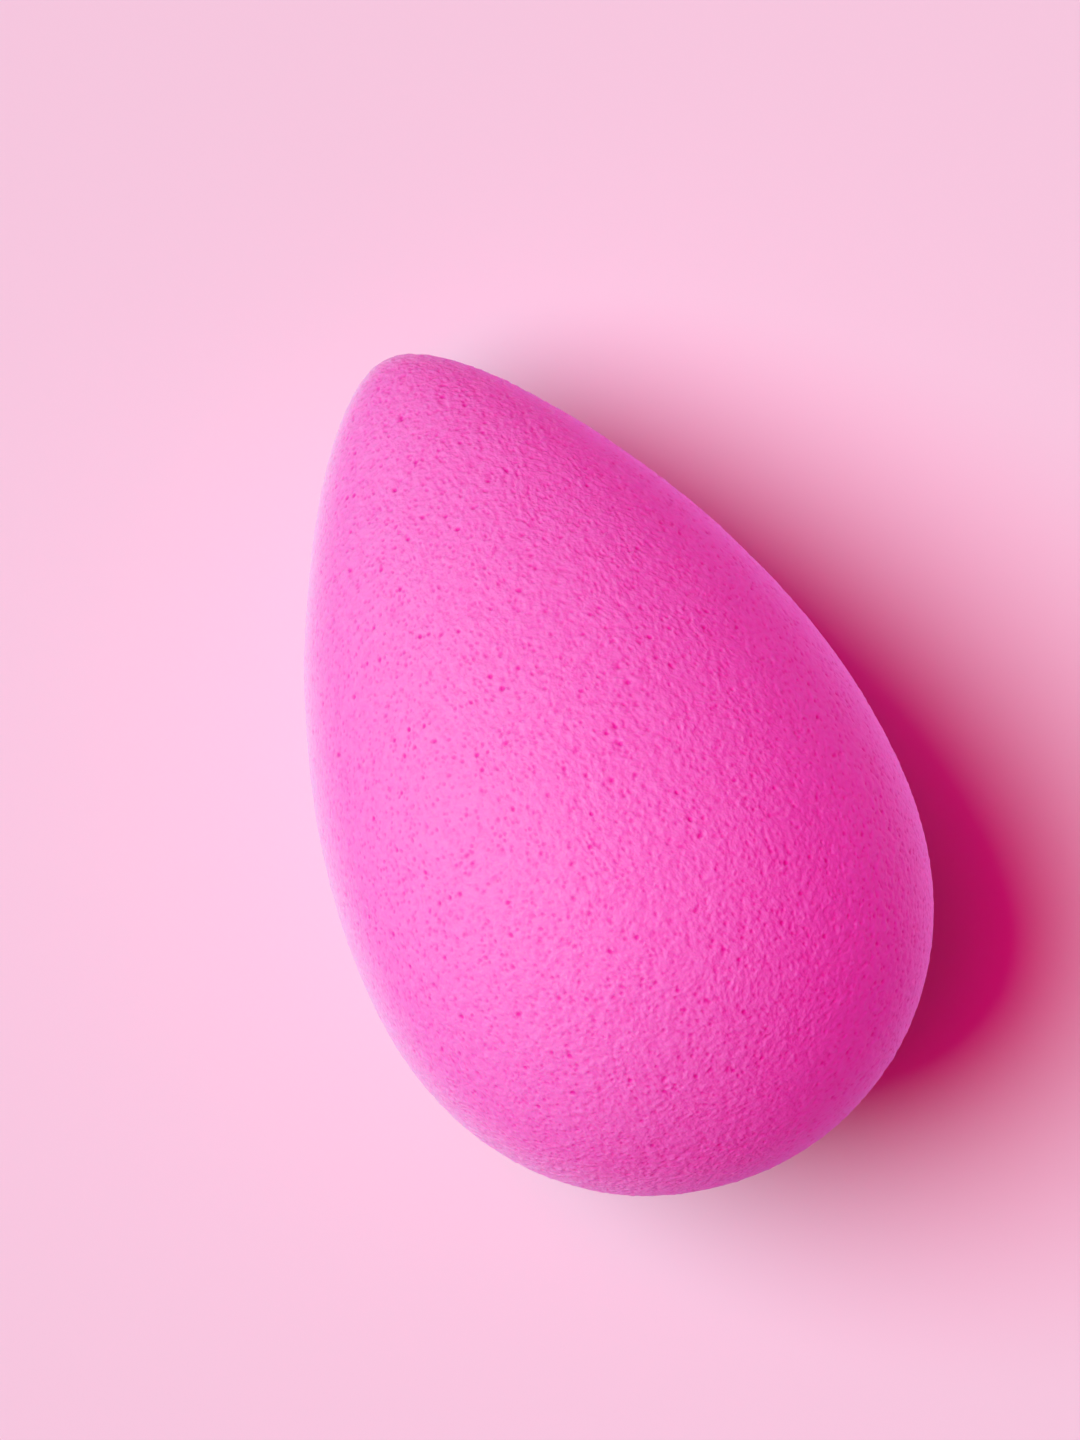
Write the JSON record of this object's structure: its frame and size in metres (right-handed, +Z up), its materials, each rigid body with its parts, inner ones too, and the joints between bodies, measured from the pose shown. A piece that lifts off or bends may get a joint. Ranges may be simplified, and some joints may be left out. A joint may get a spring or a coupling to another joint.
{
  "type": "makeup sponge",
  "caption": "Teardrop sponge of soft matte foam, with a broad round end to dab and blend cosmetics on the skin and a blunt tip for small places.",
  "frame": {"origin": "centre of the pressed flat that the sponge lies on, straight below its centre of mass", "axes": "+X from the round end to the tip, seen from above; +Z up; the sponge's own axis lies in the XZ plane, and its tip dips by about 10.3 degrees, as the sponge comes to rest on its side"},
  "size_m": [0.0623, 0.04, 0.0401],
  "materials": {
    "foam": "matte"
  },
  "bodies": {
    "root": {"sponge_body": "foam"}
  },
  "joints": []
}
